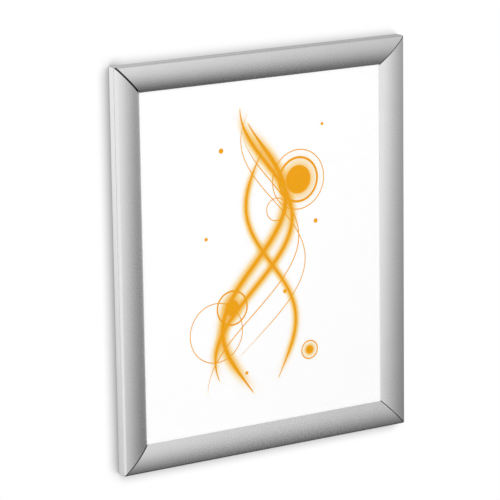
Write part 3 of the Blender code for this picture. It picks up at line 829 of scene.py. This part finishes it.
def base_rail(side, settings, materials):
    """A base rail: its section carried between two mitres, then drilled for screws, inlet and leads."""
    half = half_along(side) - BASE_MITRE_GAP
    loops, uvs = [], []
    for number, outline in enumerate(base_section()):
        away = 1.0 if number == 0 else -1.0
        inset = outline - away * settings.edge_break * outline_normals(outline)
        behind = half - outline[:, 0] - BREAK_DEPTH * settings.edge_break
        stations = [(inset, half - inset[:, 0]), (outline, behind)]
        rings, uv = carried(side, stations, outline_lengths(outline))
        loops.append(rings)
        uvs.append(uv)
    rail = grid_mesh("fixed_rail_" + side, loops, uvs, materials, [1, 0, 1], cap_material=1)
    u, d = CHANNEL_MIDDLE
    outer = half_along(side)
    holes = []
    for end in (-1.0, 1.0):
        at_wall = (end * (outer - WALL_HOLE_INSET), u, -RAIL_WALL)
        holes.append((at_wall, OUTWARD, WALL_HOLE_RADIUS, RAIL_WALL + HINGE[1]))
        at_grub = (end * (outer - GRUB_INSET), u, d)
        holes.append((at_grub, OUTWARD, GRUB_HOLE_RADIUS, HINGE[1] - d))
    if side == "bottom":
        s = outer - INLET_INSET
        slot = tuple(math.sqrt(2.0) * half_size for half_size in LEAD_SLOT)
        holes.append(((s, -RAIL_WALL, d), INWARD, INLET_HOLE_RADIUS, u + RAIL_WALL))
        holes.append(((s, u, d), INWARD, slot, WEB_END + MM - u, 4))
    drill(rail, [rod(materials, side, *hole) for hole in holes])
    return stand_in(rail, "base_rail_" + side, "frame")


def turned(
        name, side, centre, axis, along, wide, high, materials, start=0.0, sharp=SHARP_ANGLE, bands=None):
    """A closed surface turned about an axis in a rail's (s, u, d), given as stations by angles.

    Each point is centre + axis along + e1 wide cos a + e2 high sin a, with e1 along the rail.
    bands gives the material index between two stations, and 1 everywhere if it is left out.
    """
    first = np.array([1.0, 0.0, 0.0])
    second = np.cross(axis, first)
    stations, count = wide.shape
    angle = full_turn(count) + start
    along = np.broadcast_to(along, wide.shape)
    place = np.array(centre) + along[:, :, None] * np.array(axis)
    place = place + (wide * np.cos(angle))[:, :, None] * first
    place = place + (high * np.sin(angle))[:, :, None] * second
    rings = to_frame(side, place[..., 0], place[..., 1], place[..., 2])
    around = np.linspace(0.0, math.tau, count + 1) * np.max(wide)
    uv = np.stack(np.broadcast_arrays(along[:, :1], around[None, :]), axis=-1)
    return grid_mesh(name, [rings], [uv], materials, bands or [1] * (stations - 1), sharp=sharp)


def rod(materials, side, centre, axis, radius, length, count=40):
    """A cutting tool with flat ends: a round rod, or with four sides a bar with two half diagonals."""
    wide, high = radius if isinstance(radius, tuple) else (radius, radius)
    along = np.array([[0.0], [0.0], [length], [length]])
    cover = np.array([[0.0], [1.0], [1.0], [0.0]]) * np.ones((1, count))
    start = 0.25 * math.pi if count == 4 else 0.0
    return turned("tool", side, centre, axis, along, cover * wide, cover * high, materials, start)


def drill(thing, tools):
    """Cut the tools out of a piece, and remove them."""
    for tool in tools:
        modifier = thing.modifiers.new(tool.name, "BOOLEAN")
        modifier.operation = "DIFFERENCE"
        modifier.solver = "EXACT"
        modifier.object = tool
    depsgraph = bpy.context.evaluated_depsgraph_get()
    drilled = bpy.data.meshes.new_from_object(thing.evaluated_get(depsgraph))
    thing.modifiers.clear()
    thing.data = drilled
    drilled.set_sharp_from_angle(angle=math.radians(SHARP_ANGLE))
    for tool in tools:
        bpy.data.objects.remove(tool)


def leaf_spring(side, number, middle, material):
    """A bent strip: its foot, its bend and the blade that leaves the bend towards the claw."""
    reach = np.array(SPRING_TIP) - np.array(SPRING_BEND)
    towards = math.degrees(math.atan2(reach[1], reach[0]))
    leave = towards - math.degrees(math.acos(SPRING_BEND_RADIUS / np.linalg.norm(reach)))
    bend = arc(SPRING_BEND, SPRING_BEND_RADIUS, 0.0, leave, BEND_STEPS)
    path = np.concatenate([[SPRING_FOOT], bend, [SPRING_TIP]])
    across = 0.5 * SPRING_THICK * left_of(unit(np.gradient(path, axis=0)))
    sides = np.concatenate([path + across, (path - across)[::-1]])
    radii = np.zeros(len(sides))
    radii[[0, len(path) - 1, len(path), -1]] = TIP_RADIUS
    outline = round_corners(sides, radii)
    inset = outline - STRIP_EDGE * outline_normals(outline)
    half = 0.5 * SPRING_WIDTH
    stations = [(inset, half), (outline, half - STRIP_EDGE)]
    rings, uv = carried(side, stations, outline_lengths(outline), middle)
    name = "leaf_spring_%s_%d" % (side, number)
    spring = grid_mesh("bent_" + name, [rings], [uv], (material,), [0, 0, 0], cap_material=0)
    return stand_in(spring, name, "frame")


def grub_screw(side, corner, number, s, u, material):
    """A socket grub screw: cup point, helical thread, chamfer and hexagon socket.

    The thread's radius is R - depth |2 f - 1|, where f is the fraction of height / pitch - a / 2 pi.
    """
    count = 36
    angle = full_turn(count)
    height = np.arange(THREAD_ENDS[0], GRUB_LENGTH - THREAD_ENDS[1], THREAD_PITCH / THREAD_ROWS)[:, None]
    part = np.mod(height / THREAD_PITCH - angle / math.tau, 1.0)
    thread = GRUB_RADIUS - THREAD_DEPTH * np.abs(2.0 * part - 1.0)
    flat = np.ones((1, count))
    corner_angle = np.mod(angle, math.pi / 3.0) - math.pi / 6.0
    hexagon = (math.cos(math.pi / 6.0) / np.cos(corner_angle))[None, :] * HEXAGON_HALF
    along = np.concatenate([
        [[CUP_DEPTH], [0.0]], height, [[GRUB_LENGTH], [GRUB_LENGTH]],
        [[GRUB_LENGTH - depth] for depth in HEXAGON_DEPTHS]])
    radius = np.concatenate([
        0.0 * flat, CUP_RADIUS * flat, thread, SCREW_TOP_RADIUS * flat, hexagon, hexagon, 0.0 * flat])
    name = "grub_screw_%s_%d" % (corner, number)
    screw = turned(
        "threaded_" + name, side, (s, u, GRUB_FOOT), OUTWARD, along, radius, radius, (material, material),
        sharp=38.0)
    return stand_in(screw, name, "frame")


def inlet_socket(moulding, metal):
    """The low-voltage socket: a moulded body in the channel, a round nose, a bore and a plated pin.

    Each row gives the u and the half sizes along s and d of a ring, in millimetres, and its
    power: 1 is an ellipse, and less is squarer. The last four bands are the pin.
    """
    rows = np.array([
        (10.7, 0.0, 0.0, 1.0), (10.7, 4.2, 3.0, 0.25), (10.4, 4.5, 3.3, 0.25), (2.0, 4.5, 3.3, 0.25),
        (1.7, 4.2, 3.0, 0.25), (1.7, 3.2, 3.2, 1.0), (0.3, 3.2, 3.2, 1.0), (0.1, 3.02, 3.02, 1.0),
        (0.1, 2.93, 2.93, 1.0), (0.3, 2.75, 2.75, 1.0), (9.1, 2.75, 2.75, 1.0), (9.1, 1.0, 1.0, 1.0),
        (1.9, 1.0, 1.0, 1.0), (1.68, 0.8, 0.8, 1.0), (1.6, 0.45, 0.45, 1.0), (1.6, 0.0, 0.0, 1.0)])
    angle = full_turn(48)
    rays = np.maximum(np.abs([np.cos(angle), np.sin(angle)]), TINY)
    wide, high = (rows[:, at + 1, None] * MM * rays[at] ** (rows[:, 3:4] - 1.0) for at in (0, 1))
    centre = (half_along("bottom") - INLET_INSET, 0.0, CHANNEL_MIDDLE[1])
    bands = [1] * (len(rows) - 5) + [0] * 4
    socket = turned(
        "inlet_moulding", "bottom", centre, INWARD, rows[:, 0:1] * MM, wide, high, (metal, moulding),
        bands=bands)
    return stand_in(socket, "dc_inlet_socket", "frame")


def dress(prefix, material):
    """Give every CAD node whose name starts with the prefix this material."""
    nodes = [node for name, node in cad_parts.items() if name.startswith(prefix)]
    if not nodes:
        raise RuntimeError("no CAD node starts with " + prefix)
    for node in nodes:
        node.data.materials.clear()
        node.data.materials.append(material)


class LIGHTBOX_OT_snap_rails(bpy.types.Operator):
    """Build the four hinged snap rails"""

    bl_idname = "light_box.snap_rails"
    bl_label = "Snap rails"

    def execute(self, context):
        settings = context.scene.light_box_rails
        # Painted shade at the mitres: a dark rim on the satin faces of the snap rails.
        satin = satin_aluminium("satin_silver", tuple(settings.colour), settings.roughness, cut=True)
        # Painted shade: the snap rails' saw cuts get a dark colour for the shade in the mitre gaps.
        sawn = sawn_aluminium("sawn_edge_in_painted_shade", SNAP_CUT_SHADE)
        for side in SIDES:
            snap_rail(side, settings, (satin, sawn))
        return {"FINISHED"}


class LIGHTBOX_OT_base_rails(bpy.types.Operator):
    """Build the four fixed base rails"""

    bl_idname = "light_box.base_rails"
    bl_label = "Base rails"

    def execute(self, context):
        settings = context.scene.light_box_rails
        satin = satin_aluminium("base_satin", tuple(settings.mill_colour), settings.roughness)
        # Painted shade: the base rails' saw cuts get a dark colour for the shade in the mitre gaps.
        sawn = sawn_aluminium("base_cut_in_painted_shade", BASE_CUT_SHADE)
        for side in SIDES:
            base_rail(side, settings, (satin, sawn))
        return {"FINISHED"}


class LIGHTBOX_OT_hardware(bpy.types.Operator):
    """Build the springs and the grub screws, and finish the corner keys"""

    bl_idname = "light_box.hardware"
    bl_label = "Keys, screws and springs"

    def execute(self, context):
        dress("corner_key", plain_finish("cast_key"))
        black = plain_finish("black_screw")
        strip = plain_finish("spring_strip")
        u = CHANNEL_MIDDLE[0]
        for side, corner in zip(SIDES, CORNERS):
            far = half_along(side)
            grub_screw(side, corner, 1, far - GRUB_INSET, u, black)
            grub_screw(side, corner, 2, far - u, GRUB_INSET, black)
            leaf_spring(side, 1, SPRING_INSET - far, strip)
            leaf_spring(side, 2, far - SPRING_INSET, strip)
        return {"FINISHED"}


class LIGHTBOX_OT_light_stack(bpy.types.Operator):
    """Finish the sheets from the back panel to the clear cover"""

    bl_idname = "light_box.light_stack"
    bl_label = "Lit sheets"

    def execute(self, context):
        settings = context.scene.light_box_print
        dress("rear_panel", plain_finish("back_panel"))
        dress("reflector_sheet", plain_finish("reflector"))
        dress("light_guide_plate", plain_finish("light_guide"))
        dress("diffuser_sheet", plain_finish("opal"))
        film = backlit_film("backlit_film", tuple(settings.paper), tuple(settings.ink), settings.glow)
        dress("poster_print", film)
        dress("cover_sheet", clear_cover("clear_cover"))
        return {"FINISHED"}


class LIGHTBOX_OT_electrics(bpy.types.Operator):
    """Finish the light bars, the inlet and the leads"""

    bl_idname = "light_box.electrics"
    bl_label = "Electrics"

    def execute(self, context):
        dress("led_bar", plain_finish("circuit_board"))
        moulding = plain_finish("black_moulding")
        inlet_socket(moulding, plain_finish("plated_pin"))
        dress("lead_", plain_finish("lead_white"))
        return {"FINISHED"}


def add_camera(settings):
    """The camera: the box is turned by the azimuth, elevation and roll, then moved off by the aim."""
    turn = Matrix.Rotation(settings.camera_roll, 3, "Y")
    turn = turn @ Matrix.Rotation(settings.camera_elevation, 3, "X")
    turn = turn @ Matrix.Rotation(settings.camera_azimuth, 3, "Z")
    shift = Vector((settings.camera_aim[0], settings.camera_distance, settings.camera_aim[1]))
    data = bpy.data.cameras.new("camera")
    data.lens = settings.camera_lens
    data.sensor_width = SENSOR_WIDTH
    data.clip_start, data.clip_end = CAMERA_CLIP
    camera = placed("camera", data)
    axes = Matrix((turn[0], turn[2], -turn[1])).transposed().to_4x4()
    camera.matrix_world = Matrix.Translation(-(turn.transposed() @ shift)) @ axes
    bpy.context.scene.camera = camera


def add_key_lamp(power):
    """A large soft lamp that faces the box."""
    data = bpy.data.lights.new("key_lamp", "AREA")
    data.shape = "SQUARE"
    data.size = LAMP_SIZE
    data.energy = power
    lamp = placed("key_lamp", data)
    lamp.location = LAMP_AT
    lamp.rotation_euler = (-Vector(LAMP_AT)).to_track_quat("-Z", "Y").to_euler()


def stage_piece(name, points, faces, material, merge=None):
    """A piece of the stage from an array of points and one of faces."""
    mesh = mesh_from_quads(name, points, faces)
    mesh.materials.append(material)
    if merge:
        close_mesh(mesh, merge)
    thing = placed(name, mesh)
    return thing


def stage_wall():
    """A square wall just behind the box, facing it."""
    corners = np.array([(-1.0, -1.0), (1.0, -1.0), (1.0, 1.0), (-1.0, 1.0)]) * WALL_HALF
    points = np.stack([corners[:, 0], np.full(4, WALL_AT), corners[:, 1]], axis=1)
    stage_piece("wall", points, np.array([[0, 1, 2, 3]]), wall_material())


def wall_material():
    """A white wall that only the camera sees, from its front, with a soft painted shadow near the box."""
    graph = Graph(bpy.data.materials.new("white_wall_painted_shadow"))
    path = graph.node("ShaderNodeLightPath")
    front = 1.0 - graph.add("ShaderNodeNewGeometry", output="Backfacing")
    seen = Socket(graph, path.outputs["Is Camera Ray"]) * front
    x, _, z = graph.axes(graph.mapped())
    inner, outer = SHADOW_SIDE
    left = 1.0 - x.between(inner - HALF_WIDTH, outer - HALF_WIDTH)
    below = 1.0 - z.between(inner - HALF_HEIGHT, outer - HALF_HEIGHT)
    heavy = left.at_least(below)
    near = {"Distance": SHADOW_REACH}
    # Painted shadow: the wall's emission darkens with ambient occlusion near the box, more at the left and
    # below.
    hidden = 1.0 - graph.add("ShaderNodeAmbientOcclusion", near, "AO", samples=SHADOW_SAMPLES)
    start = SHADOW_START - SHADOW_EARLIER * heavy
    shade = (hidden - start).at_least(0.0) * (1.0 + SHADOW_GAIN * heavy)
    painted_shadow_level = 1.0 - shade
    white = graph.node("ShaderNodeCombineColor", {0: painted_shadow_level, 1: painted_shadow_level, 2: painted_shadow_level}).outputs[0]
    return graph.over_clear(seen, "ShaderNodeEmission", {"Color": white, "Strength": 1.0})


def shade_net_material():
    """Black net that thins out towards the upper left, so that the metal grades from light to dark.

    It lets through MIDDLE + SLOPE . (x, y, z) + BEND . (z z, x y, x z, y z) - CORNER |x y z| +
    SIDE |x| y (z + SIDE_LOW), where (x, y, z) is the unit vector from the box. The corner counts
    behind the lower right only, and the side behind the left.
    """
    graph = Graph(bpy.data.materials.new("shade_net"))
    x, y, z = graph.axes(graph.vector("NORMALIZE", {0: graph.mapped()}))
    light = NET_MIDDLE
    for term, factor in zip((x, y, z, z * z, x * y, x * z, y * z), NET_SLOPE + NET_BEND):
        light = light + term * factor
    inward = y.at_least(0.0)
    light = light - x.at_least(0.0) * inward * (-z).at_least(0.0) * NET_CORNER
    light = light + (-x).at_least(0.0) * inward * (z + NET_SIDE_LOW).at_least(0.0) * NET_SIDE
    cover = (1.0 - light).at_least(NET_COVER[0]).at_most(NET_COVER[1])
    return graph.over_clear(cover, "ShaderNodeBsdfDiffuse", {"Color": (0.0, 0.0, 0.0)})


def shade_net(rows=24, columns=48):
    """A sphere about the box: radius (cos a cos e, sin a cos e, sin e) over azimuth a and elevation e."""
    azimuth = full_turn(columns)[None, :]
    elevation = np.linspace(-0.5 * math.pi, 0.5 * math.pi, rows + 1)[:, None]
    x = np.cos(azimuth) * np.cos(elevation)
    y = np.sin(azimuth) * np.cos(elevation)
    z = np.sin(elevation) + 0.0 * azimuth
    points = NET_RADIUS * np.stack([x, y, z], axis=-1).reshape(-1, 3)
    row, column = grid_corners(rows, columns)
    faces = row * columns + column % columns
    net = stage_piece("shade_net", points, faces, shade_net_material(), NET_MERGE)
    net.visible_camera = False


def light_world(strength):
    """Even white light from all sides, which is also the background."""
    world = bpy.data.worlds.new("studio")
    bpy.context.scene.world = world
    graph = Graph(world)
    inputs = {"Color": (1.0, 1.0, 1.0), "Strength": strength}
    white = graph.node("ShaderNodeBackground", inputs).outputs[0]
    graph.node("ShaderNodeOutputWorld", {"Surface": white})


class LIGHTBOX_OT_stage(bpy.types.Operator):
    """Set up the camera, the wall and the light"""

    bl_idname = "light_box.stage"
    bl_label = "Stage"

    def execute(self, context):
        settings = context.scene.light_box_stage
        context.scene.view_settings.view_transform = "Standard"
        add_camera(settings)
        light_world(settings.room_light)
        stage_wall()
        add_key_lamp(settings.key_power)
        shade_net()
        return {"FINISHED"}


class LIGHTBOX_PT_panel(bpy.types.Panel):
    """Lists the steps and the settings of the light box"""

    bl_idname = "LIGHTBOX_PT_panel"
    bl_label = "Light Box"
    bl_space_type = "VIEW_3D"
    bl_region_type = "UI"
    bl_category = "Light Box"

    def draw(self, context):
        for group in GROUPS:
            settings = getattr(context.scene, GROUPS[group])
            for name in settings.bl_rna.properties.keys():
                if name not in ("rna_type", "name"):
                    self.layout.prop(settings, name)
        for operator in OPERATORS:
            self.layout.operator(operator.bl_idname)


GROUPS = {
    LightBoxRailSettings: "light_box_rails",
    LightBoxPrintSettings: "light_box_print",
    LightBoxStageSettings: "light_box_stage",
}
OPERATORS = (
    LIGHTBOX_OT_snap_rails,
    LIGHTBOX_OT_base_rails,
    LIGHTBOX_OT_hardware,
    LIGHTBOX_OT_light_stack,
    LIGHTBOX_OT_electrics,
    LIGHTBOX_OT_stage,
)


def register():
    for group, name in GROUPS.items():
        bpy.utils.register_class(group)
        setattr(bpy.types.Scene, name, PointerProperty(type=group))
    for operator in OPERATORS:
        bpy.utils.register_class(operator)
    bpy.utils.register_class(LIGHTBOX_PT_panel)


def unregister():
    bpy.utils.unregister_class(LIGHTBOX_PT_panel)
    for operator in reversed(OPERATORS):
        bpy.utils.unregister_class(operator)
    for group, name in GROUPS.items():
        delattr(bpy.types.Scene, name)
        bpy.utils.unregister_class(group)


def main():
    register()
    for operator in OPERATORS:
        getattr(bpy.ops.light_box, operator.bl_idname.split(".")[1])()


if __name__ == "__main__":
    main()
